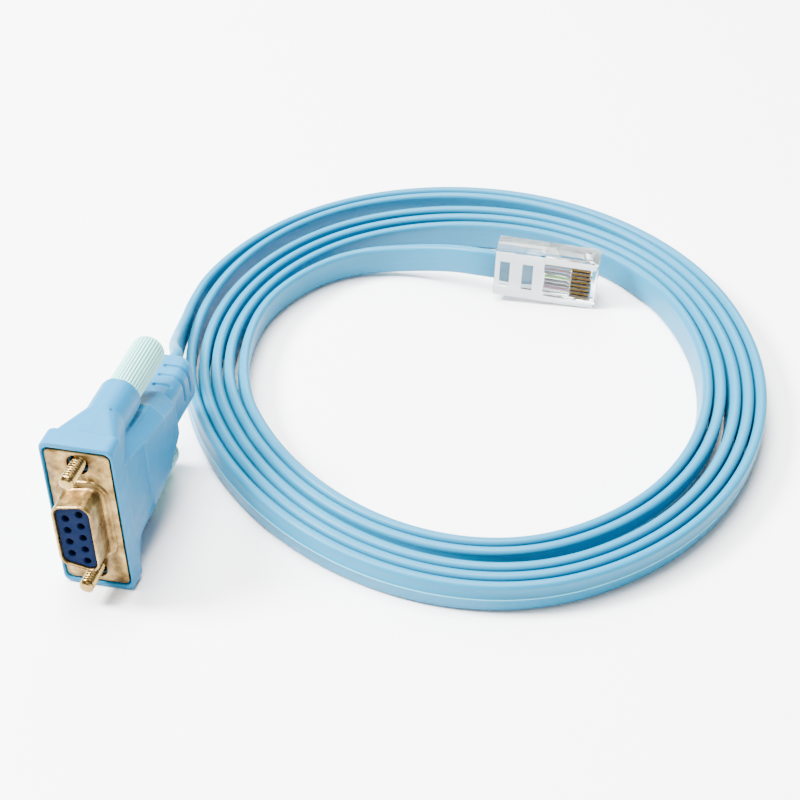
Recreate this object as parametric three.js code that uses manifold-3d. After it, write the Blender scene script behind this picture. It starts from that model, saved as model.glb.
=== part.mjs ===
// Console cable: a nine-way socket connector in a moulded hood with two thumbscrews, a flat
// eight-conductor cable wound on its edge in an oval coil, and a clear modular plug at its end.
// Millimetres, +Z up. The socket connector stands on the narrow end of its flange.

import * as THREE from 'three';
import { ConvexGeometry } from 'three/addons/geometries/ConvexGeometry.js';
import { mergeVertices } from 'three/addons/utils/BufferGeometryUtils.js';
import Module from 'manifold-3d';

// Flange of the hood
const flangeWidth = 14.4;
const flangeRim = 1.495;
const flangeThickness = 4.5;
const flangeCorner = 1.6;

// Metal plate and its D-shaped shell
const plateWidth = 12.55;
const plateMargin = 2.91;
const plateThickness = 0.8;
const plateCorner = 1.2;
const plateRecess = 1.0;
const plateClearance = 0.3;
const seatClearance = 0.2;
const shellLength = 16.33;
const shellWidth = 7.9;
const shellProtrusion = 5.9;
const shellWall = 0.5;
const shellCorner = 2.2;
const shellSlope = 10;
const flareStep = 1.1;
const flareHeight = 1.3;

// Insulating insert and its nine sleeves
const insertClearance = 0.25;
const insertSetback = 0.45;
const insertDepth = 4.2;
const contactPitch = 2.77;
const rowSpacing = 2.84;
const wideRowCount = 5;
const narrowRowCount = 4;
const holeDiameter = 1.5;
const holeLip = 1.0;
const sleeveDiameter = 1.7;
const sleeveBore = 1.0;
const sleeveLength = 5.5;
const sleeveClearance = 0.2;

// Thumbscrews
const screwSpacing = 24.99;
const screwDiameter = 2.84;
const screwProtrusion = 5.6;
const screwHoleDiameter = 4.2;
const screwBoreClearance = 0.35;
const knobDiameter = 6.7;
const knobLength = 15.2;
const knobRibs = 32;
const knobRibDepth = 0.22;
const knobEndRound = 0.8;
const knobGap = 0.3;
const knobSideClearance = 0.45;
const knobWebThickness = 1.2;

// Hood behind the flange
const shoulderLength = 8.5;
const barrelDiameter = 8.2;
const barrelEnd = 21.2;
const bodyWidth = 14.0;
const bodyTailWidth = 12.2;
const bodyStraightEnd = 24;
const bodyEnd = 31.5;
const bodyRootHeight = 23.6;
const bodyMidHeight = 17.6;
const bodyTailHeight = 12.4;
const bodyChamfer = 2.6;
const panelFront = 5.6;
const panelRear = 14.4;
const panelFrontHeight = 18.8;
const panelRearHeight = 15.2;
const panelDepth = 0.5;

// Strain relief
const reliefEnd = 45.6;
const reliefWidth = 10.2;
const reliefHeight = 9.8;
const reliefTailWidth = 8.2;
const reliefTailHeight = 8.8;
const reliefCorner = 2.6;
const slotWidth = 0.8;
const slotDepth = 0.6;
const slotPitch = 3.1;
const slotCount = 3;
const slotFirst = 35.3;
const slotSideReach = 1.2;
const shortSlotEnd = 3.8;
const shortSlotLow = 2;

// Flat cable
const cableWidth = 7.0;
const cableThickness = 2.2;
const cableEdgeRound = 0.9;
const cableGap = 0.3;
const glandDepth = 6;
const floorClearance = 0.12;

// Oval coil: the reach of each turn from the coil's centre to the cable's middle, on its four
// sides, from the outermost turn inwards
const coilCentreX = 49.5;
const coilCentreY = 76.4;
const coilTurn = 33;
const westReach = [58.9, 54.5, 51.9, 49.3, 46.7, 44.1];
const northReach = [67.9, 65.3, 58.7, 55.2, 51.6];
const eastReach = [62.1, 59.5, 56.9, 54.3, 51.6];
const southReach = [72.5, 69.9, 67.3, 62.9, 60.3];
const quarterSteps = 12;
const turnGrooveDepth = 1.2;

// The cable stands on its edge and leans by this much in this direction
const leanOffset = 0.7;
const leanDirection = -27;

// Clear plug
const plugLength = 22.8;
const plugWidth = 11.68;
const plugThickness = 6.6;
const plugCorner = 0.3;
const plugRearX = 52.1;
const plugRearY = 110.1;
const plugYaw = 2.8;
const plugPitch = -4.5;
const plugLean = 0.5;
const plugFloorGap = 0.05;
const jacketDepth = 10.5;
const jacketClearance = 0.3;
const latchWidth = 6.2;
const latchThickness = 1.1;
const latchLength = 14.5;
const latchRoot = 2.2;
const latchRise = 2.6;
const bladeCount = 8;
const bladePitch = 1.02;
const bladeThickness = 0.32;
const bladeLength = 4.6;
const bladeDepth = 2.1;
const bladeSlotClearance = 0.14;
const bladeFront = 1.2;
const wireDiameter = 0.72;
const wireLength = 8.0;
const wireClearance = 0.2;
const windowLength = 6.2;
const windowDepth = 1.5;
const windowWidth = 8.2;

// The plate reaches past the two screws, and the flange past the plate
const plateHeight = screwSpacing + 2 * plateMargin;
const flangeHeight = plateHeight + 2 * flangeRim;

const wasm = await Module();
wasm.setup();

const connector = new THREE.Group();
const assembly = new THREE.Group();

const shellFront = plateRecess - plateThickness - shellProtrusion;
const connectorMiddle = (shellFront + reliefEnd) / 2;
connector.position.set(0, -connectorMiddle, flangeHeight / 2);
assembly.add(connector);

const paint = {
  hood: { color: 0x8fcbe8, roughness: 0.5, metalness: 0 },
  knob: { color: 0xd6f2ee, roughness: 0.55, metalness: 0 },
  shell: { color: 0xc9b68d, roughness: 0.3, metalness: 1 },
  insert: { color: 0x0a4a92, roughness: 0.45, metalness: 0 },
  gold: { color: 0xb98a2c, roughness: 0.3, metalness: 1 },
  screw: { color: 0xb59a66, roughness: 0.3, metalness: 1 },
  cable: { color: 0x92cbe2, roughness: 0.45, metalness: 0 },
  clear: { color: 0xeef4f4, roughness: 0.1, metalness: 0 },
};
const wireColours = [0xf3e9e6, 0x5d1c1f, 0x8c3a3d, 0xb9dc92, 0x6f9c4d, 0x3a1d33, 0x5a3050, 0xe8e4e8];

// Solids for joining and cutting
function toSolid(geometry) {
  const plain = geometry.clone();
  plain.deleteAttribute('normal');
  plain.deleteAttribute('uv');
  const merged = mergeVertices(plain, 1e-4);
  const vertProperties = new Float32Array(merged.attributes.position.array);
  const triVerts = new Uint32Array(merged.index.array);
  return new wasm.Manifold(new wasm.Mesh({ numProp: 3, vertProperties, triVerts }));
}

function fromSolid(solid) {
  const mesh = solid.getMesh();
  const geometry = new THREE.BufferGeometry();
  geometry.setAttribute('position', new THREE.BufferAttribute(new Float32Array(mesh.vertProperties), 3));
  geometry.setIndex(new THREE.BufferAttribute(new Uint32Array(mesh.triVerts), 1));
  geometry.computeVertexNormals();
  return geometry;
}

function addMesh(parent, name, geometry, look) {
  const mesh = new THREE.Mesh(geometry, new THREE.MeshStandardMaterial(look));
  mesh.name = name;
  parent.add(mesh);
  return mesh;
}

// A rectangle with round corners, as a list of [x, z] points
function roundedRing(width, height, corner, steps = 4) {
  const ring = [];
  const centres = [
    [width / 2 - corner, height / 2 - corner, 0],
    [corner - width / 2, height / 2 - corner, 1],
    [corner - width / 2, corner - height / 2, 2],
    [width / 2 - corner, corner - height / 2, 3],
  ];
  for (const [x, z, quarter] of centres) {
    for (let i = 0; i <= steps; i += 1) {
      const angle = (quarter + i / steps) * Math.PI / 2;
      ring.push([x + corner * Math.cos(angle), z + corner * Math.sin(angle)]);
    }
  }
  return ring;
}

// A rectangle with cut corners
function chamferedRing(width, height, cut) {
  const x = width / 2;
  const z = height / 2;
  return [
    [x, z - cut], [x - cut, z], [cut - x, z], [-x, z - cut],
    [-x, cut - z], [cut - x, -z], [x - cut, -z], [x, cut - z],
  ];
}

// The convex solid over rings that stand at given distances along Y
function hull(rings) {
  const points = [];
  for (const [y, ring] of rings) {
    for (const [x, z] of ring) points.push(new THREE.Vector3(x, y, z));
  }
  return new ConvexGeometry(points);
}

function hullSolid(rings) {
  return toSolid(hull(rings));
}

// A cylinder along Y between two distances
function rodSolid(diameter, from, to, x, z, sides = 24) {
  const geometry = new THREE.CylinderGeometry(diameter / 2, diameter / 2, to - from, sides);
  geometry.translate(x, (from + to) / 2, z);
  return toSolid(geometry);
}

function boxSolid(sizeX, sizeY, sizeZ, x, y, z) {
  const geometry = new THREE.BoxGeometry(sizeX, sizeY, sizeZ);
  geometry.translate(x, y, z);
  return toSolid(geometry);
}

// The D outline: its wide row lies on the +X side, and its ends slope by the shell's angle
function dRing(length, width, corner, steps = 4) {
  const slope = Math.tan(shellSlope * Math.PI / 180) * width / 2;
  const corners = [
    [width / 2, length / 2],
    [-width / 2, length / 2 - 2 * slope],
    [-width / 2, 2 * slope - length / 2],
    [width / 2, -length / 2],
  ];
  const ring = [];
  for (let i = 0; i < corners.length; i += 1) {
    const here = new THREE.Vector2(...corners[i]);
    const before = new THREE.Vector2(...corners[(i + 3) % 4]).sub(here).normalize();
    const after = new THREE.Vector2(...corners[(i + 1) % 4]).sub(here).normalize();
    const half = Math.acos(before.dot(after)) / 2;
    const reach = corner / Math.tan(half);
    const middle = before.clone().add(after).normalize().multiplyScalar(corner / Math.sin(half)).add(here);
    const start = before.clone().multiplyScalar(reach).add(here).sub(middle);
    const end = after.clone().multiplyScalar(reach).add(here).sub(middle);
    const first = Math.atan2(start.y, start.x);
    let sweep = Math.atan2(end.y, end.x) - first;
    if (sweep > Math.PI) sweep -= 2 * Math.PI;
    if (sweep < -Math.PI) sweep += 2 * Math.PI;
    for (let k = 0; k <= steps; k += 1) {
      const angle = first + sweep * k / steps;
      ring.push([middle.x + corner * Math.cos(angle), middle.y + corner * Math.sin(angle)]);
    }
  }
  return ring;
}

function dSolid(length, width, corner, from, to) {
  const ring = dRing(length, width, corner);
  return hullSolid([[from, ring], [to, ring]]);
}

// Places of the nine sleeves: the wide row, then the narrow one
function contactPlaces() {
  const places = [];
  for (const [count, x] of [[wideRowCount, rowSpacing / 2], [narrowRowCount, -rowSpacing / 2]]) {
    for (let i = 0; i < count; i += 1) places.push([x, ((count - 1) / 2 - i) * contactPitch]);
  }
  return places;
}

const screwHeights = [screwSpacing / 2, -screwSpacing / 2];
const plateFront = plateRecess - plateThickness;
const insertFront = shellFront + insertSetback;
const insertBack = plateRecess + insertDepth;
const insertLength = shellLength - 2 * shellWall - 2 * insertClearance;
const insertWidth = shellWidth - 2 * shellWall - 2 * insertClearance;
const insertCorner = shellCorner - shellWall - insertClearance;

// Hood: flange, shoulders, two barrels, bevelled body and strain relief in one moulding
function makeHood() {
  const flange = roundedRing(flangeWidth, flangeHeight, flangeCorner);
  let solid = hullSolid([[0, flange], [flangeThickness, flange]]);
  const root = roundedRing(flangeWidth - 0.8, flangeHeight - 1.2, flangeCorner);
  for (const z of screwHeights) {
    const shoulderHeight = flangeHeight / 2 - 0.6 - Math.abs(z) + barrelDiameter / 2;
    const middle = Math.sign(z) * (flangeHeight / 2 - 0.6 - shoulderHeight / 2);
    const wide = roundedRing(flangeWidth - 0.8, shoulderHeight, flangeCorner).map(([x, h]) => [x, h + middle]);
    const narrow = roundedRing(barrelDiameter, barrelDiameter, barrelDiameter / 2 - 0.1, 5)
      .map(([x, h]) => [x, h + z]);
    const shoulderEnd = flangeThickness + shoulderLength;
    solid = solid.add(hullSolid([[flangeThickness - 0.5, wide], [shoulderEnd, narrow]]));
    solid = solid.add(rodSolid(barrelDiameter, flangeThickness, barrelEnd, 0, z, 28));
  }
  const rootBody = chamferedRing(bodyWidth, bodyRootHeight, bodyChamfer);
  const midBody = chamferedRing(bodyWidth, bodyMidHeight, bodyChamfer);
  const tailBody = chamferedRing(bodyTailWidth, bodyTailHeight, bodyChamfer);
  solid = solid.add(hullSolid([[flangeThickness - 0.5, rootBody], [bodyStraightEnd, midBody]]));
  solid = solid.add(hullSolid([[bodyStraightEnd - 0.5, midBody], [bodyEnd, tailBody]]));
  const reliefRoot = roundedRing(reliefWidth, reliefHeight, reliefCorner);
  const reliefTail = roundedRing(reliefTailWidth, reliefTailHeight, reliefCorner);
  const reliefTurn = reliefEnd - 2;
  solid = solid.add(hullSolid([[bodyEnd - 1, reliefRoot], [reliefTurn, reliefRoot], [reliefEnd, reliefTail]]));

  const recess = roundedRing(plateWidth + 2 * plateClearance, plateHeight + 2 * plateClearance, plateCorner);
  solid = solid.subtract(hullSolid([[-1, recess], [plateRecess + seatClearance, recess]]));
  const pocketLength = insertLength + 2 * insertClearance;
  const pocketWidth = insertWidth + 2 * insertClearance;
  solid = solid.subtract(dSolid(pocketLength, pocketWidth, insertCorner, 0, insertBack + insertClearance));
  for (const z of screwHeights) {
    solid = solid.subtract(rodSolid(screwDiameter + 2 * screwBoreClearance, -1, barrelEnd + 1, 0, z));
    const trough = knobDiameter + 2 * knobSideClearance;
    solid = solid.subtract(rodSolid(trough, barrelEnd, bodyEnd + knobLength, 0, z, 28));
  }
  const slotFloorWidth = reliefWidth - 2 * slotDepth;
  const slotFloor = roundedRing(slotFloorWidth, reliefHeight - 2 * slotDepth, reliefCorner - slotDepth);
  for (const side of [1, -1]) {
    const panel = [];
    for (const depth of [bodyWidth / 2 - panelDepth, bodyWidth / 2 + 1]) {
      for (const [y, half] of [[panelFront, panelFrontHeight / 2], [panelRear, panelRearHeight / 2]]) {
        panel.push(new THREE.Vector3(side * depth, y, half), new THREE.Vector3(side * depth, y, -half));
      }
    }
    solid = solid.subtract(toSolid(new ConvexGeometry(panel)));
    for (let i = 0; i < slotCount; i += 1) {
      const y = slotFirst + i * slotPitch;
      const across = i === 0 ? shortSlotEnd : reliefWidth / 2 + 1;
      const low = i === 0 ? shortSlotLow : -slotSideReach;
      const high = reliefHeight / 2 + 1;
      const cut = boxSolid(across, slotWidth, high - low, side * across / 2, y, side * (high + low) / 2);
      solid = solid.subtract(cut.subtract(hullSolid([[y - slotWidth, slotFloor], [y + slotWidth, slotFloor]])));
    }
  }
  const gland = cableSection(cableWidth + 2 * cableGap, cableThickness + 2 * cableGap, cableEdgeRound);
  const bore = gland.map(([along, across]) => [across, along]);
  solid = solid.subtract(hullSolid([[reliefEnd - glandDepth - cableGap, bore], [reliefEnd + 1, bore]]));
  addMesh(connector, 'hood', fromSolid(solid), paint.hood);
}

// Stamped shell: a plate with two screw holes, a raised step and the D-shaped collar
function makeShell() {
  const plate = roundedRing(plateWidth, plateHeight, plateCorner);
  let solid = hullSolid([[plateFront, plate], [plateRecess, plate]]);
  const stepRing = dRing(shellLength + 2 * flareStep, shellWidth + 2 * flareStep, shellCorner + flareStep);
  const collar = dRing(shellLength, shellWidth, shellCorner);
  solid = solid.add(hullSolid([[plateRecess - 0.1, stepRing], [plateFront - flareHeight, collar]]));
  solid = solid.add(hullSolid([[shellFront, collar], [plateRecess - 0.1, collar]]));
  const inside = shellWall;
  const cut = dSolid(shellLength - 2 * inside, shellWidth - 2 * inside, shellCorner - inside, shellFront - 1, plateRecess + 1);
  solid = solid.subtract(cut);
  for (const z of screwHeights) solid = solid.subtract(rodSolid(screwHoleDiameter, plateFront - 1, plateRecess + 1, 0, z));
  addMesh(connector, 'front_shell', fromSolid(solid), paint.shell);
}

// Insert with nine stepped holes
function makeInsert() {
  let solid = dSolid(insertLength, insertWidth, insertCorner, insertFront, insertBack);
  for (const [x, z] of contactPlaces()) {
    solid = solid.subtract(rodSolid(holeDiameter, insertFront - 1, insertFront + holeLip + 0.5, x, z, 16));
    const seat = sleeveDiameter + 2 * sleeveClearance;
    const seatEnd = insertFront + holeLip + sleeveLength + 2 * sleeveClearance;
    solid = solid.subtract(rodSolid(seat, insertFront + holeLip, seatEnd, x, z, 16));
  }
  addMesh(connector, 'insulator', fromSolid(solid), paint.insert);
}

// A ring-shaped sleeve along Y
function sleeveGeometry(outer, bore, length, sides) {
  const profile = [
    [bore / 2, 0], [outer / 2, 0], [outer / 2, length], [bore / 2, length], [bore / 2, 0],
  ];
  return new THREE.LatheGeometry(profile.map(([r, h]) => new THREE.Vector2(r, h)), sides);
}

function makeSleeves() {
  contactPlaces().forEach(([x, z], index) => {
    const geometry = sleeveGeometry(sleeveDiameter, sleeveBore, sleeveLength, 12);
    const mesh = addMesh(connector, `contact_${index + 1}`, geometry, paint.gold);
    mesh.position.set(x, insertFront + holeLip + sleeveClearance, z);
  });
}

// Thumbscrew: a ribbed knob closed at its rear end, and the screw that it turns
function makeThumbscrew(label, z) {
  const knobStart = barrelEnd + knobGap;
  const knobEnd = knobStart + knobLength;
  const ribs = [];
  for (let i = 0; i < 2 * knobRibs; i += 1) {
    const radius = knobDiameter / 2 - (i % 2) * knobRibDepth;
    const angle = i * Math.PI / knobRibs;
    ribs.push([radius * Math.cos(angle), radius * Math.sin(angle)]);
  }
  const knobShape = new THREE.Shape(ribs.map(([x, y]) => new THREE.Vector2(x, y)));
  const prism = new THREE.ExtrudeGeometry(knobShape, { depth: knobLength, bevelEnabled: false });
  prism.rotateX(-Math.PI / 2);
  prism.translate(0, knobStart, 0);
  const trim = new THREE.LatheGeometry([
    [0, knobStart - 1], [knobDiameter, knobStart - 1], [knobDiameter, knobEnd - knobEndRound - knobDiameter / 2],
    [knobDiameter / 2 - knobEndRound, knobEnd], [0, knobEnd],
  ].map(([r, h]) => new THREE.Vector2(r, h)), 32);
  const bore = screwDiameter + 2 * cableGap;
  let knob = toSolid(prism).intersect(toSolid(trim));
  knob = knob.subtract(rodSolid(bore, knobStart - 1, knobEnd - knobWebThickness, 0, 0, 16));
  const knobMesh = addMesh(connector, `${label}_knob`, fromSolid(knob), paint.knob);
  knobMesh.position.set(0, 0, z);

  const tip = plateFront - screwProtrusion;
  const end = knobEnd - knobWebThickness - cableGap;
  const radius = screwDiameter / 2;
  const profile = [[0, tip], [radius - 0.5, tip], [radius, tip + 0.6], [radius, end], [0, end]];
  const screw = new THREE.LatheGeometry(profile.map(([r, h]) => new THREE.Vector2(r, h)), 20);
  const screwMesh = addMesh(connector, `${label}_screw`, screw, paint.screw);
  screwMesh.position.set(0, 0, z);
}

// Section of the flat cable as [along its width, across it] points, 12 sides
function cableSection(width, thickness, edge) {
  const u = width / 2;
  const v = thickness / 2;
  const middle = edge * (1 - Math.SQRT1_2);
  return [
    [u, v - edge], [u - middle, v - middle], [u - edge, v],
    [edge - u, v], [middle - u, v - middle], [-u, v - edge],
    [-u, edge - v], [middle - u, middle - v], [edge - u, -v],
    [u - edge, -v], [u - middle, middle - v], [u, edge - v],
  ];
}

// A point on the oval coil: turn is counted from the outermost, quarter 0 runs from west to north
function coilPoint(turn, quarter, share, offset) {
  const ends = [
    [westReach[turn], northReach[turn]],
    [northReach[turn], eastReach[turn]],
    [eastReach[turn], southReach[turn]],
    [southReach[turn], westReach[turn + 1]],
  ][quarter];
  const from = ends[0] + offset;
  const to = ends[1] + offset;
  const angle = share * Math.PI / 2;
  const fromPart = from * Math.cos(angle);
  const toPart = to * Math.sin(angle);
  return [
    new THREE.Vector2(-fromPart, toPart),
    new THREE.Vector2(toPart, fromPart),
    new THREE.Vector2(fromPart, -toPart),
    new THREE.Vector2(-toPart, -fromPart),
  ][quarter];
}

// The points of one quarter, both ends included
function coilQuarter(turn, quarter, offset, steps = quarterSteps) {
  const points = [];
  for (let i = 0; i <= steps; i += 1) points.push(coilPoint(turn, quarter, i / steps, offset));
  return points;
}

function withoutRepeats(points) {
  return points.filter((point, i) => i === 0 || point.distanceTo(points[i - 1]) > 0.02);
}

const lastTurn = eastReach.length - 1;
const halfThick = cableThickness / 2;
const coilAngle = coilTurn * Math.PI / 180;
const worldCoilY = coilCentreY - connectorMiddle;
const leanAngle = leanDirection * Math.PI / 180;
const leanShare = leanOffset / (cableWidth / 2);

function leanPoint(position, middleHeight, amount) {
  const shift = amount * leanShare * (position.z - middleHeight);
  position.x += shift * Math.cos(leanAngle);
  position.y += shift * Math.sin(leanAngle);
}

// The wound turns as one ring: its outline steps where the cable comes in and where it leaves
function makeCoil() {
  const outer = [
    ...coilQuarter(0, 1, halfThick),
    ...coilQuarter(0, 2, halfThick),
    ...coilQuarter(0, 3, halfThick),
    ...coilQuarter(1, 0, halfThick),
  ];
  const inner = [
    ...coilQuarter(lastTurn, 0, -halfThick),
    ...coilQuarter(lastTurn, 1, -halfThick),
    ...coilQuarter(lastTurn, 2, -halfThick),
    ...coilQuarter(lastTurn, 3, -halfThick),
  ];
  const shape = new THREE.Shape(withoutRepeats(outer));
  shape.holes.push(new THREE.Path(withoutRepeats(inner).reverse()));
  const ring = new THREE.ExtrudeGeometry(shape, { depth: cableWidth, bevelEnabled: false });
  let solid = toSolid(ring);

  const near = [];
  const far = [];
  for (let turn = 0; turn < lastTurn; turn += 1) {
    for (let quarter = 0; quarter < 4; quarter += 1) {
      if (turn === 0 && quarter === 0) continue;
      for (let i = 0; i < quarterSteps; i += 1) {
        near.push(coilPoint(turn, quarter, i / quarterSteps, -halfThick));
        far.push(nextTurnPoint(turn, quarter, i / quarterSteps));
      }
    }
  }
  const groove = new THREE.Shape(withoutRepeats([...near, ...far.reverse()]));
  const cutter = new THREE.ExtrudeGeometry(groove, { depth: 2 * turnGrooveDepth, bevelEnabled: false });
  const low = cutter.clone();
  low.translate(0, 0, -turnGrooveDepth);
  cutter.translate(0, 0, cableWidth - turnGrooveDepth);
  solid = solid.subtract(toSolid(low)).subtract(toSolid(cutter));
  const geometry = fromSolid(solid);
  geometry.rotateZ(coilAngle);
  geometry.translate(coilCentreX, worldCoilY, 0);
  const place = geometry.attributes.position;
  const point = new THREE.Vector3();
  for (let i = 0; i < place.count; i += 1) {
    point.fromBufferAttribute(place, i);
    leanPoint(point, cableWidth / 2, 1);
    place.setXYZ(i, point.x, point.y, point.z);
  }
  addMesh(assembly, 'cable_coil', geometry, paint.cable);
}

// The outer edge of the next turn inwards, at the same place round the coil
function nextTurnPoint(turn, quarter, share) {
  return coilPoint(turn + 1, quarter, share, halfThick);
}

function toWorld(point, height) {
  const x = point.x * Math.cos(coilAngle) - point.y * Math.sin(coilAngle);
  const y = point.x * Math.sin(coilAngle) + point.y * Math.cos(coilAngle);
  return new THREE.Vector3(coilCentreX + x, worldCoilY + y, height);
}

const stretchHeight = cableWidth / 2 + floorClearance;
const upright = new THREE.Vector3(0, 0, 1);
const leaning = new THREE.Vector3(leanShare * Math.cos(leanAngle), leanShare * Math.sin(leanAngle), 1);

// The middle line of a free stretch, with frames whose first axis runs along the cable's width
class StretchPath extends THREE.CatmullRomCurve3 {
  constructor(points, widthAt) {
    super(points, false, 'centripetal');
    this.widthAt = widthAt;
  }

  computeFrenetFrames(segments) {
    const frames = { tangents: [], normals: [], binormals: [] };
    for (let i = 0; i <= segments; i += 1) {
      const tangent = this.getTangentAt(i / segments);
      frames.tangents.push(tangent);
      frames.normals.push(this.widthAt(i / segments));
      frames.binormals.push(new THREE.Vector3().crossVectors(tangent, upright).normalize());
    }
    return frames;
  }
}

// A free stretch of cable through the given points; widthAt gives the direction of its width
function makeStretch(name, points, steps, widthAt) {
  const path = new StretchPath(points, widthAt);
  const section = cableSection(cableWidth, cableThickness, cableEdgeRound);
  const shape = new THREE.Shape(section.map(([u, v]) => new THREE.Vector2(u, v)));
  const geometry = new THREE.ExtrudeGeometry(shape, { steps, bevelEnabled: false, extrudePath: path });
  geometry.deleteAttribute('normal');
  geometry.deleteAttribute('uv');
  addMesh(assembly, name, mergeVertices(geometry, 1e-4), paint.cable);
}

const leadStart = new THREE.Vector3(0, reliefEnd - glandDepth - connectorMiddle, flangeHeight / 2);
const leadRoute = [
  [0, 45, 16.9],
  [-0.3, 49, 16.6],
  [-2.3, 52.6, 14.9],
  [-5.3, 59.2, 11.2],
  [-8, 67.4, 7.7],
  [-9.4, 73, 6],
  [-10.4, 78.1, 4.9],
  [-11.3, 83, 4.1],
];

// From the strain relief down to the surface, then round the coil's outside to its start
function makeLead() {
  const points = [leadStart];
  for (const [x, y, z] of leadRoute) points.push(new THREE.Vector3(x, y - connectorMiddle, z));
  for (const share of [0.5, 0.6, 0.7, 0.8, 0.9]) {
    points.push(toWorld(coilPoint(0, 0, share, 0), stretchHeight));
  }
  const last = coilPoint(0, 0, 1, 0);
  last.x -= cableGap;
  points.push(toWorld(last, stretchHeight));
  makeStretch('cable_lead', points, 30, (share) => {
    return new THREE.Vector3().lerpVectors(upright, leaning, THREE.MathUtils.smoothstep(share, 0.15, 0.45));
  });
}

makeHood();
makeShell();
makeInsert();
makeSleeves();
makeThumbscrew('upper', screwHeights[0]);
makeThumbscrew('lower', screwHeights[1]);
makeCoil();
makeLead();

// Plug in its own frame: X from its cable end to its nose, -Y its contact side, Z its width
const plug = new THREE.Group();
plug.rotation.order = 'ZYX';
plug.rotation.set(plugLean * Math.PI / 180, -plugPitch * Math.PI / 180, plugYaw * Math.PI / 180);
assembly.add(plug);

const bladeHeights = [];
for (let i = 0; i < bladeCount; i += 1) bladeHeights.push(((bladeCount - 1) / 2 - i) * bladePitch);
const bladeFace = -plugThickness / 2;
const wireY = bladeFace + bladeDepth + wireDiameter / 2 + 0.35;
const wireStart = jacketDepth + 0.4;

function makePlugHousing() {
  const ring = roundedRing(plugThickness, plugWidth, plugCorner, 2);
  const along = hull([[0, ring], [plugLength, ring]]);
  along.rotateZ(-Math.PI / 2);
  let solid = toSolid(along);
  const jacketHole = boxSolid(jacketDepth + 1 + jacketClearance, cableThickness + 2 * jacketClearance,
    cableWidth + 2 * jacketClearance, (jacketDepth + jacketClearance - 1) / 2, 0, 0);
  solid = solid.subtract(jacketHole);
  const channelHeight = bladePitch * (bladeCount - 1) + wireDiameter + 2 * wireClearance;
  const channelDepth = wireDiameter + 2 * wireClearance;
  const channelLength = wireLength + 2 * wireClearance;
  const channel = boxSolid(channelLength, channelDepth, channelHeight,
    wireStart - wireClearance + channelLength / 2, wireY, 0);
  solid = solid.subtract(channel);
  const joinDepth = Math.abs(wireY) + channelDepth / 2 + cableThickness / 2;
  solid = solid.subtract(boxSolid(1.2, joinDepth, channelHeight, jacketDepth, wireY / 2, 0));
  for (const z of bladeHeights) {
    const width = bladeThickness + 2 * bladeSlotClearance;
    const length = bladeLength + 2 * bladeSlotClearance;
    const middle = plugLength - bladeFront - bladeLength / 2;
    const depth = bladeDepth + 0.25 + 1;
    solid = solid.subtract(boxSolid(length, depth, width, middle, bladeFace + bladeDepth + 0.25 - depth / 2, z));
  }
  const windowMiddle = wireStart + 0.6 + windowLength / 2 - 1.2;
  solid = solid.subtract(boxSolid(windowLength, windowDepth * 2, windowWidth, windowMiddle, bladeFace - 0.35, 0));
  const latchEnd = latchRoot + latchLength;
  const tongue = [];
  for (const [fromNose, rise] of [[latchRoot, 0], [latchEnd, latchRise]]) {
    for (const level of [0, latchThickness]) {
      const x = plugLength - fromNose;
      const y = plugThickness / 2 + rise + level - (rise === 0 ? 0.3 : 0);
      tongue.push(new THREE.Vector3(x, y, latchWidth / 2), new THREE.Vector3(x, y, -latchWidth / 2));
    }
  }
  solid = solid.add(toSolid(new ConvexGeometry(tongue)));
  addMesh(plug, 'plug_housing', fromSolid(solid), paint.clear);
}

function makeBladesAndWires() {
  bladeHeights.forEach((z, index) => {
    const blade = new THREE.BoxGeometry(bladeLength, bladeDepth - 0.3, bladeThickness);
    const bladeMesh = addMesh(plug, `blade_${index + 1}`, blade, paint.gold);
    const middle = bladeFace + 0.3 + (bladeDepth - 0.3) / 2;
    bladeMesh.position.set(plugLength - bladeFront - bladeLength / 2, middle, z);
    const wire = new THREE.CylinderGeometry(wireDiameter / 2, wireDiameter / 2, wireLength, 8);
    wire.rotateZ(Math.PI / 2);
    const look = { color: wireColours[index], roughness: 0.4, metalness: 0 };
    const wireMesh = addMesh(plug, `wire_${index + 1}`, wire, look);
    wireMesh.position.set(wireStart + wireLength / 2, wireY, z);
  });
}

// Stand the plug so that its lowest corner is on the surface
function placePlug() {
  plug.position.set(plugRearX, plugRearY - connectorMiddle, 0);
  plug.updateMatrixWorld(true);
  const box = new THREE.Box3().setFromObject(plug, true);
  plug.position.z = plugFloorGap - box.min.z;
  plug.updateMatrixWorld(true);
}

// From the innermost turn up into the plug
function makeTail() {
  const points = [];
  const first = coilPoint(lastTurn, 3, 1, 0);
  first.y += cableGap;
  points.push(toWorld(first, stretchHeight));
  for (const [x, y, z] of tailRoute) points.push(new THREE.Vector3(x, y - connectorMiddle, z));
  for (const depth of [-4, 0, jacketDepth / 2, jacketDepth]) {
    points.push(plug.localToWorld(new THREE.Vector3(depth, 0, 0)));
  }
  const plugUp = new THREE.Vector3(0, 0, 1).applyQuaternion(plug.quaternion);
  makeStretch('cable_tail', points, 24, (share) => {
    return new THREE.Vector3().lerpVectors(leaning, plugUp, THREE.MathUtils.smoothstep(share, 0.4, 0.8));
  });
}

const tailRoute = [
  [9.3, 58.9, 3.65],
  [6.6, 66.5, 3.65],
  [4.8, 75.5, 3.65],
  [4.4, 84.5, 3.65],
  [5.7, 92, 3.65],
  [9.5, 100.5, 3.7],
  [14.8, 107, 3.8],
  [21, 111, 4],
  [28.5, 112.7, 4.6],
  [36.5, 112.4, 6],
  [43, 111, 7.4],
];

makePlugHousing();
makeBladesAndWires();
placePlug();
makeTail();

export default assembly;
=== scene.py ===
# Looks of a flat console cable with a nine-way socket connector and a clear modular plug.
# Lengths are named in millimetres, as in the part's source, and turned into metres in the meshes.

import math

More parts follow.
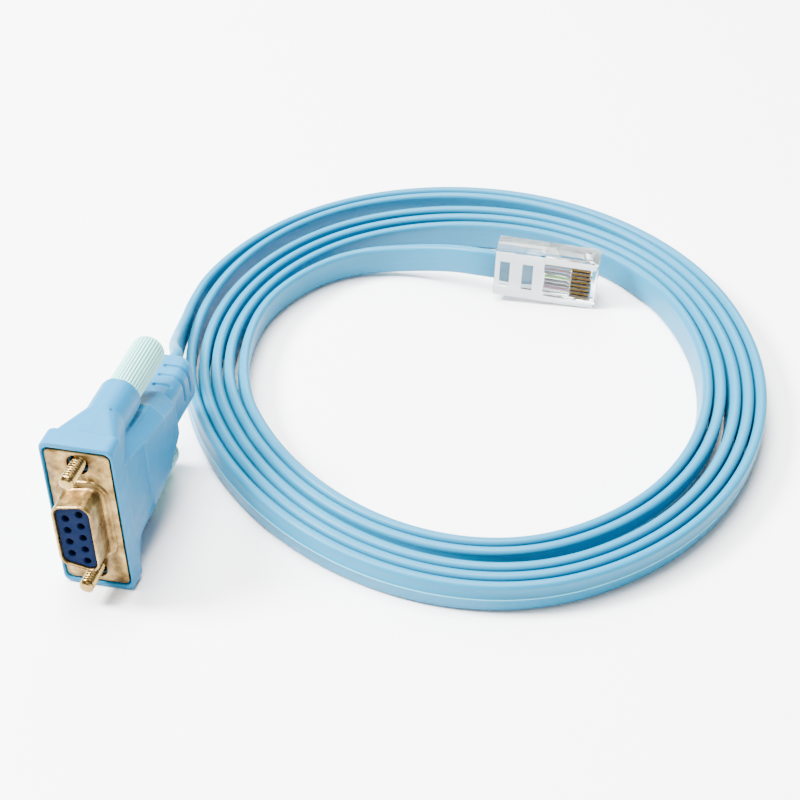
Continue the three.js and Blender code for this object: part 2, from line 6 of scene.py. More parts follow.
import bmesh
import bpy
from mathutils import Euler, Matrix, Vector


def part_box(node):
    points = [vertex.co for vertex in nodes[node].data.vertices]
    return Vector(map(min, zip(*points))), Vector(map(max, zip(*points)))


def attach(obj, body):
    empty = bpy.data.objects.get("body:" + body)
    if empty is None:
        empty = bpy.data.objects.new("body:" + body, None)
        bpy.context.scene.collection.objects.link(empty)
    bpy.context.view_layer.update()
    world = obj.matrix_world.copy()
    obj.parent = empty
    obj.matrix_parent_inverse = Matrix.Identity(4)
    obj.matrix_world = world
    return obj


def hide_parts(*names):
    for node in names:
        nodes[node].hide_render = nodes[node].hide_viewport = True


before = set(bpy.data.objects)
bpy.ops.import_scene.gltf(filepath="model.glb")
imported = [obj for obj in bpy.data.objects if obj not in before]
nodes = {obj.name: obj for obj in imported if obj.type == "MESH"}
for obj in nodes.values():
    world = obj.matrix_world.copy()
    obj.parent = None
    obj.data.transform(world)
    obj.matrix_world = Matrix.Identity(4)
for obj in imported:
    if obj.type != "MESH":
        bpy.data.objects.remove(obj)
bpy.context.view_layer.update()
MM = 0.001

# Camera, from the photograph's perspective
IMAGE_SIZE = 800
FOCAL_PIXELS = 1873.9
SENSOR_WIDTH = 36.0
CAMERA_PLACE = (0.1307, -0.25255, 0.2403)
CAMERA_AZIMUTH = 16.71
CAMERA_ELEVATION = 37.525
CAMERA_ROLL = 3.043
CAMERA_NEAR = 0.01

# Connector, in its own frame: Y grows from the mating face to the cable
CONNECTOR_MIDDLE = 19.95
CONNECTOR_HEIGHT = 16.9
SCREW_HEIGHTS = {"upper": 12.495, "lower": -12.495}
PLATE_FRONT = 0.2
PLATE_BACK = 1.0
PLATE_SIZE = (12.55, 30.81)
PLATE_CORNER = 1.2
SHELL_FRONT = -5.7
SHELL_LENGTH = 16.33
SHELL_WIDTH = 7.9
SHELL_CORNER = 2.2
SHELL_WALL = 0.5
SHELL_SLOPE = 10
SCREW_HOLE = 4.2
INSERT_FRONT = -5.25
INSERT_BACK = 5.2
INSERT_CLEARANCE = 0.25
CONTACT_PITCH = 2.77
ROW_SPACING = 2.84
CONTACT_ROWS = [(5, ROW_SPACING / 2), (4, -ROW_SPACING / 2)]
KNOB_START = 21.5
KNOB_LENGTH = 15.2
KNOB_RADIUS = 3.35
KNOB_RIBS = 32
KNOB_RIB_DEPTH = 0.22
SCREW_TIP = -5.4
SCREW_RADIUS = 1.42
THREAD_PITCH = 0.635
THREAD_DEPTH = 0.3
THREAD_LENGTH = 6.6
SCREW_END = 35.2

# Front plate: how far its edge is rounded, and the flare of its screw holes
PLATE_INSET = 0.24
PLATE_INSET_CORNER = 0.1
PLATE_EDGE_BACK = 0.12
PLATE_EDGE_FRONT = 0.14
HOLE_FLARE = 0.1

# Collar, as (offset outwards, distance): its foot from the plate's front, its lip from its own front
COLLAR_FOOT = [
    (1.45, 0.0), (1.38, 0.08), (1.3, 0.28), (1.16, 0.42), (0.95, 0.5),
    (0.6, 0.52), (0.36, 0.58), (0.16, 0.74), (0.04, 1.0), (0.0, 1.4),
]
COLLAR_LIP = [
    (0.0, 0.35), (-0.05, 0.14), (-0.15, 0.04), (-0.25, 0.0),
    (-0.35, 0.04), (-0.45, 0.14), (-SHELL_WALL, 0.35),
]

# Insert: its front edge as (inset, depth), a contact hole as (radius, depth)
INSERT_EDGE = [(0.14, 0.0), (0.04, 0.04), (0.0, 0.14)]
CONTACT_HOLE = [(0.86, 0.0), (0.8, 0.05), (0.7, 0.22), (0.68, 1.0), (1.02, 1.02), (1.02, 7.2)]
HOLE_STEPS = 22

# Knob: its bore, and its ends as (inset, share of the ribs, distance from that end)
KNOB_BORE = 1.72
KNOB_BORE_DEPTH = 6
KNOB_STEPS = KNOB_RIBS * 8
KNOB_RIB_MIDDLE = 0.55
KNOB_FRONT = [(0.3, 0.0, 0.0), (0.06, 0.0, 0.12), (0.0, 0.2, 0.35), (0.0, 1.0, 0.8)]
KNOB_REAR = [
    (0.0, 1.0, 1.5), (0.0, 0.9, 1.1), (0.08, 0.5, 0.7), (0.3, 0.15, 0.34), (0.65, 0.0, 0.1),
    (1.1, 0.0, 0.0), (1.9, 0.0, 0.0), (2.15, 0.0, 0.16), (2.5, 0.0, 0.22),
]
GROOVE_SHARPNESS = 4
# Painted shade in the knob's grooves: how dark, and where along the knob it starts and ends
GROOVE_SHADE_TINT = 0.85
GROOVE_SHADE_START = 0.6
GROOVE_SHADE_END = 0.9

# Screw: its point as (narrowing, distance behind its tip), and the form of its thread
SCREW_POINT = [(0.62, 0.0), (0.42, 0.08), (0.12, 0.35)]
SCREW_DIMPLE = 0.05
SCREW_STEPS = 32
THREAD_RINGS = 10
THREAD_STEEPNESS = 1.25
THREAD_CREST = 0.12

# Hood and plug housing: how their edges are softened
HOOD_VOXEL = 0.25
HOOD_ROUNDS = 5
PLUG_BEVEL = 0.12
PLUG_SHARP_ANGLE = 35
WELD_DISTANCE = 1e-6
FLAT_ANGLE = 0.02

# Turned and stamped forms: edges flatter than this many degrees are shaded smooth
FORM_ANGLE = 50
INSERT_ANGLE = 35

# Small marks, in the part's frame: a dot on the plate, painted shade in a dimple on the upper barrel, and
# painted shade in the hood's screw recesses
PLATE_DOT = (-5.18, -19.75, 25.96)
PLATE_DOT_RADIUS = 0.3
# Painted shade in a small dimple on the upper barrel
BARREL_DIMPLE_SHADE = (2.03, -7.62, 32.96)
BARREL_DIMPLE_SHADE_RADIUS = 0.42
# Painted shade in the hood's bores behind the plate's screw holes: how far behind the plate, and how wide
RECESS_SHADE_DEPTH = 1.2
RECESS_SHADE_RADIUS = 3.2

# Flat cable
CABLE_WIDTH = 7.0
CABLE_THICKNESS = 2.2
CABLE_EDGE = 1.02
CABLE_EDGE_STEPS = 5
CABLE_START = (0.0, 19.65, 16.9)
FLOOR_CLEARANCE = 0.12
SEAM_HEIGHT = 0.14
SEAM_WIDTH = 0.34
SEAM_CREST = 0.45
RING_SPACING = 1.5
SHORTEST_STRETCH = 1e-6

# Coil
COIL_CENTRE = (49.5, 76.4 - CONNECTOR_MIDDLE)
COIL_TURN = math.radians(33)
WEST_REACH = [58.9, 54.5, 51.9, 49.3, 46.7, 44.1]
NORTH_REACH = [67.9, 65.3, 58.7, 55.2, 51.6]
EAST_REACH = [62.1, 59.5, 56.9, 54.3, 51.6]
SOUTH_REACH = [72.5, 69.9, 67.3, 62.9, 60.3]
QUARTER_STEPS = 12
LEAD_SHARES = [0.5, 0.6, 0.7, 0.8, 0.9]
LEAN_SHARE = 0.7 / 3.5
LEAN_DIRECTION = math.radians(-27)
LEAN_STRETCH = (0.15, 0.45)
TAIL_TURN_STRETCH = (0.4, 0.8)

LEAD_ROUTE = [
    (0, 45, 16.9),
    (-0.3, 49, 16.6),
    (-2.3, 52.6, 14.9),
    (-5.3, 59.2, 11.2),
    (-8, 67.4, 7.7),
    (-9.4, 73, 6),
    (-10.4, 78.1, 4.9),
    (-11.3, 83, 4.1),
]
TAIL_ROUTE = [
    (9.3, 58.9, 3.65),
    (6.6, 66.5, 3.65),
    (4.8, 75.5, 3.65),
    (4.4, 84.5, 3.65),
    (5.7, 92, 3.65),
    (9.5, 100.5, 3.7),
    (14.8, 107, 3.8),
    (21, 111, 4),
    (28.5, 112.7, 4.6),
    (36.5, 112.4, 6),
    (43, 111, 7.4),
]

# Plug, in its own frame: X from its cable end to its nose, -Y its contact side, Z its width
PLUG_LENGTH = 22.8
PLUG_WIDTH = 11.68
PLUG_THICKNESS = 6.6
PLUG_REAR = (52.1, 110.1 - CONNECTOR_MIDDLE)
PLUG_LEAN = 0.5
PLUG_PITCH = -4.5
PLUG_YAW = 2.8
JACKET_DEPTH = 10.5
PLUG_APPROACH = -4

# Milky bars on the plug's contact side, with two windows to the jacket between them
PLUG_FACE = -PLUG_THICKNESS / 2
PLUG_EDGE = PLUG_WIDTH / 2 - 0.1
BAR_LAYER = (PLUG_FACE - 0.03, PLUG_FACE + 0.12)
BAR_BEVEL = 0.05
CROSS_BARS = [(0.1, 1.2), (3.4, 6.2), (8.6, 11.0)]
WINDOW_HALF = 3.3
WIRE_BAY_HALF = 4.3
SIDE_BARS = [(1.0, 3.6, WINDOW_HALF), (6.0, 8.8, WINDOW_HALF), (10.8, 22.5, WIRE_BAY_HALF)]

# Painted shade and painted reflection: a dark amber sheet under the contacts, in the clear plastic round
# them, stands in for the shade of the slots between the contacts and the amber gleam of their gold
SHADE_GLEAM_X = (17.1, 21.4)
SHADE_GLEAM_LAYER = (PLUG_FACE + 0.75, PLUG_FACE + 0.95)
SHADE_GLEAM_HALF = 3.95
SHADE_GLEAM_BEVEL = 0.06

# Colours, as everyday 0 to 255 values
CABLE_BLUE = (8, 110, 144)
# The seam's crest is painted lighter: a painted highlight along the raised seam
SEAM_HIGHLIGHT_BLUE = (96, 184, 208)
HOOD_BLUE = (0, 106, 148)
# Painted shade in the barrel's dimple
DIMPLE_SHADE_BLUE = (4, 50, 80)
# Painted shade in the screw recesses
RECESS_SHADE_BROWN = (22, 17, 12)
INSERT_BLUE = (0, 17, 48)
KNOB_MINT = (140, 212, 204)
# Painted shade in the knob's grooves
GROOVE_SHADE_GREEN = (34, 100, 102)
PLATED_BASE = (140, 112, 72)
PLATED_SHADES = [(0.32, (66, 50, 26)), (0.5, (124, 98, 54)), (0.68, (170, 144, 92))]
DOT_GREY = (70, 62, 74)
SCREW_BRASS = (150, 124, 74)
CONTACT_GOLD = (88, 66, 14)
# Painted shade and painted reflection of the contacts' slots
SHADE_GLEAM_AMBER = (48, 32, 8)
CLEAR_WHITE = (244, 250, 250)
MILKY_WHITE = (246, 250, 252)
WIRE_COLOURS = [
    (226, 196, 190), (20, 4, 6), (124, 18, 24), (18, 42, 12),
    (96, 176, 32), (20, 4, 18), (50, 10, 36), (196, 128, 148),
]
FLOOR_COLOUR = (0.93, 0.932, 0.935, 1)
FLOOR_ROUGHNESS = 0.7

# Stage, in metres: lights as (name, place, target, size, power)
LIGHTS = [
    ("key", (-0.66, -0.12, 0.74), (0.05, 0.03, 0), 0.3, 58),
    ("front", (0.1, -0.9, 0.7), (0.05, 0.03, 0), 0.6, 3),
    ("top", (-0.1, 0.1, 1.1), (0.05, 0.03, 0), 0.7, 58),
    ("back", (-0.25, 1.0, 0.8), (0.05, 0.05, 0), 0.6, 18),
]
WORLD_STRENGTH = 0.36
FLOOR_HALF = 3.0

# A rectangle's corners in turn, as (side, side, quarter of a circle)
CORNERS = [(1, 1, 0), (-1, 1, 1), (-1, -1, 2), (1, -1, 3)]


def smooth_share(value, low, high):
    share = min(max((value - low) / (high - low), 0.0), 1.0)
    return share * share * (3 - 2 * share)


def make_camera():
    azimuth = math.radians(CAMERA_AZIMUTH)
    elevation = math.radians(CAMERA_ELEVATION)
    roll = math.radians(CAMERA_ROLL)
    forward = Vector((
        -math.sin(azimuth) * math.cos(elevation),
        math.cos(azimuth) * math.cos(elevation),
        -math.sin(elevation),
    ))
    right = forward.cross(Vector((0, 0, 1))).normalized()
    up = right.cross(forward)
    rolled_right = right * math.cos(roll) - up * math.sin(roll)
    rolled_up = right * math.sin(roll) + up * math.cos(roll)
    data = bpy.data.cameras.new("camera")
    data.sensor_width = SENSOR_WIDTH
    data.lens = FOCAL_PIXELS / IMAGE_SIZE * SENSOR_WIDTH
    data.clip_start = CAMERA_NEAR
    camera = bpy.data.objects.new("camera", data)
    matrix = Matrix.Identity(4)
    matrix.col[0][:3] = rolled_right
    matrix.col[1][:3] = rolled_up
    matrix.col[2][:3] = -forward
    matrix.col[3][:3] = CAMERA_PLACE
    camera.matrix_world = matrix
    bpy.context.scene.collection.objects.link(camera)
    bpy.context.scene.camera = camera


make_camera()


# Meshes
def new_object(name, mesh):
    item = bpy.data.objects.new(name, mesh)
    bpy.context.scene.collection.objects.link(item)
    return item


def mesh_from(name, vertices, faces):
    mesh = bpy.data.meshes.new(name)
    mesh.from_pydata([tuple(c * MM for c in v) for v in vertices], [], faces)
    mesh.validate()
    mesh.polygons.foreach_set("use_smooth", [True] * len(mesh.polygons))
    mesh.update()
    return mesh


def turn_outwards(mesh):
    work = bmesh.new()
    work.from_mesh(mesh)
    bmesh.ops.recalc_face_normals(work, faces=work.faces)
    work.to_mesh(mesh)
    work.free()


def applied(item, name):
    """A plain mesh object with the modifiers of item carried out; item is removed"""
    bpy.context.view_layer.update()
    graph = bpy.context.evaluated_depsgraph_get()
    mesh = bpy.data.meshes.new_from_object(item.evaluated_get(graph))
    mesh.name = name
    bpy.data.objects.remove(item)
    mesh.materials.clear()
    return new_object(name, mesh)


def connector_point(x, y, z):
    return (x, y - CONNECTOR_MIDDLE, z + CONNECTOR_HEIGHT)


# Flat cable: lead, five turns and tail as one piece
def coil_point(turn, quarter, share):
    reach_from, reach_to = [
        (WEST_REACH[turn], NORTH_REACH[turn]),
        (NORTH_REACH[turn], EAST_REACH[turn]),
        (EAST_REACH[turn], SOUTH_REACH[turn]),
        (SOUTH_REACH[turn], WEST_REACH[turn + 1]),
    ][quarter]
    angle = share * math.pi / 2
    part_from = reach_from * math.cos(angle)
    part_to = reach_to * math.sin(angle)
    x, y = [
        (-part_from, part_to),
        (part_to, part_from),
        (part_from, -part_to),
        (-part_to, -part_from),
    ][quarter]
    return Vector((
        COIL_CENTRE[0] + x * math.cos(COIL_TURN) - y * math.sin(COIL_TURN),
        COIL_CENTRE[1] + x * math.sin(COIL_TURN) + y * math.cos(COIL_TURN),
        CABLE_WIDTH / 2 + FLOOR_CLEARANCE / 2,
    ))


def plug_matrix():
    angles = [math.radians(angle) for angle in (PLUG_LEAN, -PLUG_PITCH, PLUG_YAW)]
    turn = Euler(angles, "XYZ").to_matrix()
    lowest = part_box("plug_housing")[0]
    corners = [
        turn @ Vector((x, y, z))
        for x in (0, PLUG_LENGTH)
        for y in (-PLUG_THICKNESS / 2, PLUG_THICKNESS / 2)
        for z in (-PLUG_WIDTH / 2, PLUG_WIDTH / 2)
    ]
    height = lowest.z / MM - min(c.z for c in corners)
    matrix = turn.to_4x4()
    matrix.translation = Vector((PLUG_REAR[0], PLUG_REAR[1], height))
    return matrix


PLUG = plug_matrix()


def cable_knots():
    """The points the cable passes, the index where the coil starts and the one where it ends"""
    knots = [Vector(CABLE_START)]
    knots += [Vector((x, y - CONNECTOR_MIDDLE, z)) for x, y, z in LEAD_ROUTE]
    knots += [coil_point(0, 0, share) for share in LEAD_SHARES]
    coil_start = len(knots)
    last_turn = len(EAST_REACH) - 1
    for turn in range(last_turn + 1):
        for quarter in range(4):
            if turn == 0 and quarter == 0:
                continue
            for step in range(QUARTER_STEPS):
                knots.append(coil_point(turn, quarter, step / QUARTER_STEPS))
    coil_end = len(knots)
    knots.append(coil_point(last_turn, 3, 1))
    knots += [Vector((x, y - CONNECTOR_MIDDLE, z)) for x, y, z in TAIL_ROUTE]
    depths = (PLUG_APPROACH, 0, JACKET_DEPTH / 2, JACKET_DEPTH)
    knots += [PLUG @ Vector((depth, 0, 0)) for depth in depths]
    return knots, coil_start, coil_end


def spline_point(p0, p1, p2, p3, share):
    """A centripetal curve through p1 and p2"""
    t0 = 0.0
    t1 = t0 + max((p1 - p0).length, SHORTEST_STRETCH) ** 0.5
    t2 = t1 + max((p2 - p1).length, SHORTEST_STRETCH) ** 0.5
    t3 = t2 + max((p3 - p2).length, SHORTEST_STRETCH) ** 0.5
    t = t1 + share * (t2 - t1)
    a1 = p0 * ((t1 - t) / (t1 - t0)) + p1 * ((t - t0) / (t1 - t0))
    a2 = p1 * ((t2 - t) / (t2 - t1)) + p2 * ((t - t1) / (t2 - t1))
    a3 = p2 * ((t3 - t) / (t3 - t2)) + p3 * ((t - t2) / (t3 - t2))
    b1 = a1 * ((t2 - t) / (t2 - t0)) + a2 * ((t - t0) / (t2 - t0))
    b2 = a2 * ((t3 - t) / (t3 - t1)) + a3 * ((t - t1) / (t3 - t1))
    return b1 * ((t2 - t) / (t2 - t1)) + b2 * ((t - t1) / (t2 - t1))


def cable_path():
    """Points of the middle line at nearly even spacing, with the knot share at each"""
    knots, coil_start, coil_end = cable_knots()
    points = []
    places = []
    last = len(knots) - 1
    for i in range(last):
        p1 = knots[i]
        p2 = knots[i + 1]
        p0 = knots[i - 1] if i > 0 else p1 * 2 - p2
        p3 = knots[i + 2] if i + 2 <= last else p2 * 2 - p1
        steps = max(1, round((p2 - p1).length / RING_SPACING))
        for step in range(steps):
            points.append(spline_point(p0, p1, p2, p3, step / steps))
            places.append(i + step / steps)
    points.append(knots[last].copy())
    places.append(float(last))
    return points, places, coil_start, coil_end


def cable_section():
    """Points (along the width, across it, perimeter) of the section, with a low seam on its outer side"""
    half_width = CABLE_WIDTH / 2
    half_thick = CABLE_THICKNESS / 2
    outline = []
    for side_u, side_v, quarter in CORNERS:
        if quarter == 3:
            seam = SEAM_WIDTH / 2
            outline.append((-seam, -half_thick))
            outline.append((-seam * SEAM_CREST, -half_thick - SEAM_HEIGHT))
            outline.append((seam * SEAM_CREST, -half_thick - SEAM_HEIGHT))
            outline.append((seam, -half_thick))
        for step in range(CABLE_EDGE_STEPS + 1):
            angle = (quarter + step / CABLE_EDGE_STEPS) * math.pi / 2
            outline.append((
                side_u * (half_width - CABLE_EDGE) + CABLE_EDGE * math.cos(angle),
                side_v * (half_thick - CABLE_EDGE) + CABLE_EDGE * math.sin(angle),
            ))
    return outline


def cable_corners(points, lengths, lead_length, tail_start, section):
    """The section at every point: upright at first, then leaning like the coil, then as the plug"""
    upright = Vector((0, 0, 1))
    leaning = Vector((LEAN_SHARE * math.cos(LEAN_DIRECTION), LEAN_SHARE * math.sin(LEAN_DIRECTION), 1))
    plug_up = PLUG.to_3x3() @ upright
    vertices = []
    for i, point in enumerate(points):
        ahead = points[min(i + 1, len(points) - 1)]
        behind = points[max(i - 1, 0)]
        tangent = (ahead - behind).normalized()
        if lengths[i] < tail_start:
            width = upright.lerp(leaning, smooth_share(lengths[i] / lead_length, *LEAN_STRETCH))
        else:
            along = (lengths[i] - tail_start) / (lengths[-1] - tail_start)
            width = leaning.lerp(plug_up, smooth_share(along, *TAIL_TURN_STRETCH))
        across = tangent.cross(upright).normalized()
        for u, v in section:
            vertices.append(point + width * u + across * v)
    return vertices


def tube_faces(rings, count):
    faces = []
    for i in range(rings - 1):
        for k in range(count):
            n = (k + 1) % count
            faces.append((i * count + k, i * count + n, (i + 1) * count + n, (i + 1) * count + k))
    last = (rings - 1) * count
    faces.append(tuple(reversed(range(count))))
    faces.append(tuple(last + k for k in range(count)))
    return faces


def mark_seam_highlight(mesh, section):
    """Marks the seam's crest, for the painted highlight along it"""
    seam = mesh.attributes.new("seam", "FLOAT", "POINT")
    raised = [v < -CABLE_THICKNESS / 2 - SEAM_HEIGHT / 2 for u, v in section]
    for i in range(len(mesh.vertices)):
        seam.data[i].value = 1.0 if raised[i % len(section)] else 0.0


def map_along(mesh, section, lengths):
    """Lays the surface out by length and perimeter, in metres"""
    count = len(section)
    perimeter = [0.0]
    for a, b in zip(section, section[1:] + section[:1]):
        perimeter.append(perimeter[-1] + math.hypot(b[0] - a[0], b[1] - a[1]))
    layer = mesh.uv_layers.new(name="along")
    for polygon in mesh.polygons:
        closing = len(polygon.vertices) == 4 and any(v % count == count - 1 for v in polygon.vertices)
        for loop in polygon.loop_indices:
            ring, k = divmod(mesh.loops[loop].vertex_index, count)
            around = perimeter[count] if closing and k == 0 else perimeter[k]
            layer.data[loop].uv = (lengths[ring] * MM, around * MM)


def make_cable():
    points, places, coil_start, coil_end = cable_path()
    lengths = [0.0]
    for a, b in zip(points, points[1:]):
        lengths.append(lengths[-1] + (b - a).length)
    lead_length = lengths[min(range(len(places)), key=lambda i: abs(places[i] - coil_start))]
    tail_start = lengths[min(range(len(places)), key=lambda i: abs(places[i] - coil_end))]
    section = cable_section()
    vertices = cable_corners(points, lengths, lead_length, tail_start, section)
    mesh = mesh_from("flat_cable", vertices, tube_faces(len(points), len(section)))
    mark_seam_highlight(mesh, section)
    map_along(mesh, section, lengths)
    turn_outwards(mesh)
    return new_object("flat_cable", mesh), points, lengths


cable, cable_points, cable_lengths = make_cable()
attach(cable, "root")
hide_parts("cable_coil", "cable_lead", "cable_tail")


# Materials
def linear(red, green, blue):
    """The shader's colour from an everyday 0 to 255 colour"""
    values = []
    for value in (red, green, blue):
        share = value / 255
        values.append(share / 12.92 if share <= 0.04045 else ((share + 0.055) / 1.055) ** 2.4)
    return (*values, 1.0)


def scaled(colour, factor):
    return (*[min(1.0, c * factor) for c in colour[:3]], 1.0)


class Look:
    """A node material that is built up step by step"""

    def __init__(self, name, colour, roughness, metallic=0.0):
        self.material = bpy.data.materials.new(name)
        self.material.use_nodes = True
        self.tree = self.material.node_tree
        self.shader = self.tree.nodes["Principled BSDF"]
        self.colour = colour
        self.shader.inputs["Base Color"].default_value = colour
        self.shader.inputs["Roughness"].default_value = roughness
        self.shader.inputs["Metallic"].default_value = metallic
        self.roughness = roughness
        self.coordinates = self.tree.nodes.new("ShaderNodeTexCoord")
        self.height = None

    def fix(self, **values):
        for name, value in values.items():
            self.shader.inputs[name.replace("_", " ")].default_value = value
        return self

    def noise(self, scale, detail=3.0, stretch=(1, 1, 1), source="Object", rough=0.55):
        mapping = self.tree.nodes.new("ShaderNodeMapping")
        mapping.inputs["Scale"].default_value = stretch
        self.tree.links.new(self.coordinates.outputs[source], mapping.inputs["Vector"])
        texture = self.tree.nodes.new("ShaderNodeTexNoise")
        texture.inputs["Scale"].default_value = scale
        texture.inputs["Detail"].default_value = detail
        texture.inputs["Roughness"].default_value = rough
        self.tree.links.new(mapping.outputs["Vector"], texture.inputs["Vector"])
        return texture.outputs["Fac"]

    def ramp(self, factor, stops):
        node = self.tree.nodes.new("ShaderNodeValToRGB")
        elements = node.color_ramp.elements
        while len(elements) < len(stops):
            elements.new(0.5)
        for element, (place, colour) in zip(elements, stops):
            element.position = place
            element.color = colour
        self.tree.links.new(factor, node.inputs["Fac"])
        return node.outputs["Color"]

    def vary_colour(self, factor, low=0.93, high=1.05, reach=(0.35, 0.65)):
        stops = [(reach[0], scaled(self.colour, low)), (reach[1], scaled(self.colour, high))]
        self.tree.links.new(self.ramp(factor, stops), self.shader.inputs["Base Color"])
        return self

    def colours(self, factor, stops):
        self.tree.links.new(self.ramp(factor, stops), self.shader.inputs["Base Color"])
        return self

    def tint(self, share, colour):
        mix = self.tree.nodes.new("ShaderNodeMix")
        mix.data_type = "RGBA"
        before = self.shader.inputs["Base Color"].links[0].from_socket
        self.tree.links.new(share, mix.inputs["Factor"])
        self.tree.links.new(before, mix.inputs["A"])
        mix.inputs["B"].default_value = colour
        self.tree.links.new(mix.outputs["Result"], self.shader.inputs["Base Color"])
        return self

    def tint_by(self, attribute, colour):
        """Turns the colour so far towards another where a mesh attribute is 1"""
        source = self.tree.nodes.new("ShaderNodeAttribute")
        source.attribute_name = attribute
        return self.tint(source.outputs["Fac"], colour)

    def tint_spot(self, place, radius, colour):
        """A small spot of another colour round a place, given in millimetres"""
        measure = self.tree.nodes.new("ShaderNodeVectorMath")
        measure.operation = "DISTANCE"
        self.tree.links.new(self.coordinates.outputs["Object"], measure.inputs[0])
        measure.inputs[1].default_value = [c * MM for c in place]
        spread = self.tree.nodes.new("ShaderNodeMapRange")
        spread.inputs["From Min"].default_value = radius * MM * 0.5
        spread.inputs["From Max"].default_value = radius * MM
        spread.inputs["To Min"].default_value = 1.0
        spread.inputs["To Max"].default_value = 0.0
        self.tree.links.new(measure.outputs["Value"], spread.inputs["Value"])
        return self.tint(spread.outputs["Result"], colour)

    def vary_roughness(self, factor, spread):
        node = self.tree.nodes.new("ShaderNodeMapRange")
        node.inputs["From Min"].default_value = 0.3
        node.inputs["From Max"].default_value = 0.7
        node.inputs["To Min"].default_value = max(0.02, self.roughness - spread)
        node.inputs["To Max"].default_value = min(1.0, self.roughness + spread)
        self.tree.links.new(factor, node.inputs["Value"])
        self.tree.links.new(node.outputs["Result"], self.shader.inputs["Roughness"])
        return self

    def bump(self, factor, strength, distance):
        node = self.tree.nodes.new("ShaderNodeBump")
        node.inputs["Strength"].default_value = strength
        node.inputs["Distance"].default_value = distance
        self.tree.links.new(factor, node.inputs["Height"])
        if self.height is not None:
            self.tree.links.new(self.height, node.inputs["Normal"])
        self.height = node.outputs["Normal"]
        self.tree.links.new(self.height, self.shader.inputs["Normal"])
        return self


def moulded_plastic(name, colour, roughness, sheen_depth=0.00004):
    look = Look(name, colour, roughness)
    look.vary_colour(look.noise(60, 2), 0.95, 1.04)
    look.vary_roughness(look.noise(420, 3), 0.07)
    look.bump(look.noise(2600, 2), 0.12, sheen_depth)
    return look


def cable_look():
    look = Look("cable_jacket_look", linear(*CABLE_BLUE), 0.42)
    streaks = look.noise(900, 3, (0.02, 1, 1), "UV")
    look.vary_colour(streaks, 0.95, 1.04)
    # Painted highlight: the seam's crest is turned towards a lighter blue
    look.tint_by("seam", linear(*SEAM_HIGHLIGHT_BLUE))
    look.vary_roughness(look.noise(70, 3), 0.06)
    look.bump(look.noise(1500, 3, (0.015, 1, 1), "UV"), 0.18, 0.00005)
    look.bump(look.noise(160, 2), 0.1, 0.0003)
    look.fix(Specular_IOR_Level=0.22)
    look.fix(Subsurface_Weight=0.12, Subsurface_Radius=(0.0006, 0.001, 0.0012))
    return look.material


def plated_look():
    look = Look("plated_look", linear(*PLATED_BASE), 0.36, 0.9)
    patches = look.noise(260, 5, rough=0.7)
    look.colours(patches, [(share, linear(*shade)) for share, shade in PLATED_SHADES])
    look.tint_spot(PLATE_DOT, PLATE_DOT_RADIUS, linear(*DOT_GREY))
    look.vary_roughness(look.noise(900, 4), 0.12)
    look.bump(look.noise(1400, 4), 0.25, 0.00006)
    return look.material


def brass_look():
    look = Look("screw_brass_look", linear(*SCREW_BRASS), 0.24, 1.0)
    look.vary_colour(look.noise(700, 4), 0.8, 1.08)
    look.vary_roughness(look.noise(1500, 3), 0.1)
    look.bump(look.noise(2200, 2), 0.1, 0.00003)
    return look.material


def gold_look():
    look = Look("contact_gold_look", linear(*CONTACT_GOLD), 0.25, 1.0)
    look.vary_colour(look.noise(900, 3), 0.82, 1.1)
    look.vary_roughness(look.noise(1300, 3), 0.08)
    return look.material


def insert_look():
    look = moulded_plastic("insert_look", linear(*INSERT_BLUE), 0.7)
    look.fix(Specular_IOR_Level=0.05)
    return look.material


def hood_look():
    look = moulded_plastic("hood_look", linear(*HOOD_BLUE), 0.5)
    look.bump(look.noise(180, 3), 0.12, 0.0002)
    # Painted shade: a dark spot for the small dimple on the upper barrel
    look.tint_spot(BARREL_DIMPLE_SHADE, BARREL_DIMPLE_SHADE_RADIUS, linear(*DIMPLE_SHADE_BLUE))
    # Painted shade: dark spots in the hood's bores behind the plate's screw holes
    for height in SCREW_HEIGHTS.values():
        recess_shade = connector_point(0, PLATE_BACK + RECESS_SHADE_DEPTH, height)
        look.tint_spot(recess_shade, RECESS_SHADE_RADIUS, linear(*RECESS_SHADE_BROWN))
    look.fix(Specular_IOR_Level=0.22)
    look.fix(Subsurface_Weight=0.1, Subsurface_Radius=(0.0006, 0.001, 0.0013))
    return look.material


def knob_look():
    look = moulded_plastic("knob_look", linear(*KNOB_MINT), 0.4)
    # Painted shade: the grooves between the ribs are darkened
    look.tint_by("groove", linear(*GROOVE_SHADE_GREEN))
    look.fix(Subsurface_Weight=0.15, Subsurface_Radius=(0.0004, 0.0005, 0.0005))
    return look.material


def clear_look():
    look = Look("clear_plug_look", linear(*CLEAR_WHITE), 0.04)
    look.vary_roughness(look.noise(500, 3), 0.03)
    look.bump(look.noise(350, 2), 0.05, 0.0002)
    look.fix(IOR=1.36, Transmission_Weight=1.0)
    return look.material


def frosted_look():
    look = Look("frosted_look", linear(*MILKY_WHITE), 0.35)
    look.vary_roughness(look.noise(500, 3), 0.06)
    look.bump(look.noise(700, 2), 0.1, 0.0001)
    look.fix(IOR=1.45, Transmission_Weight=0.55)
    return look.material


# Painted shade and painted reflection: the dark amber sheet under the plug's contacts
def shade_gleam_look():
    look = Look("contact_shade_gleam_look", linear(*SHADE_GLEAM_AMBER), 0.4, 0.3)
    look.vary_colour(look.noise(700, 3), 0.6, 1.2)
    return look.material


def wire_look(index, colour):
    look = Look(f"wire_look_{index}", colour, 0.35)
    look.vary_colour(look.noise(500, 2), 0.88, 1.08)
    look.vary_roughness(look.noise(900, 2), 0.06)
    return look.material


def dress(item, material):
    item.data.materials.clear()
    item.data.materials.append(material)


dress(cable, cable_look())


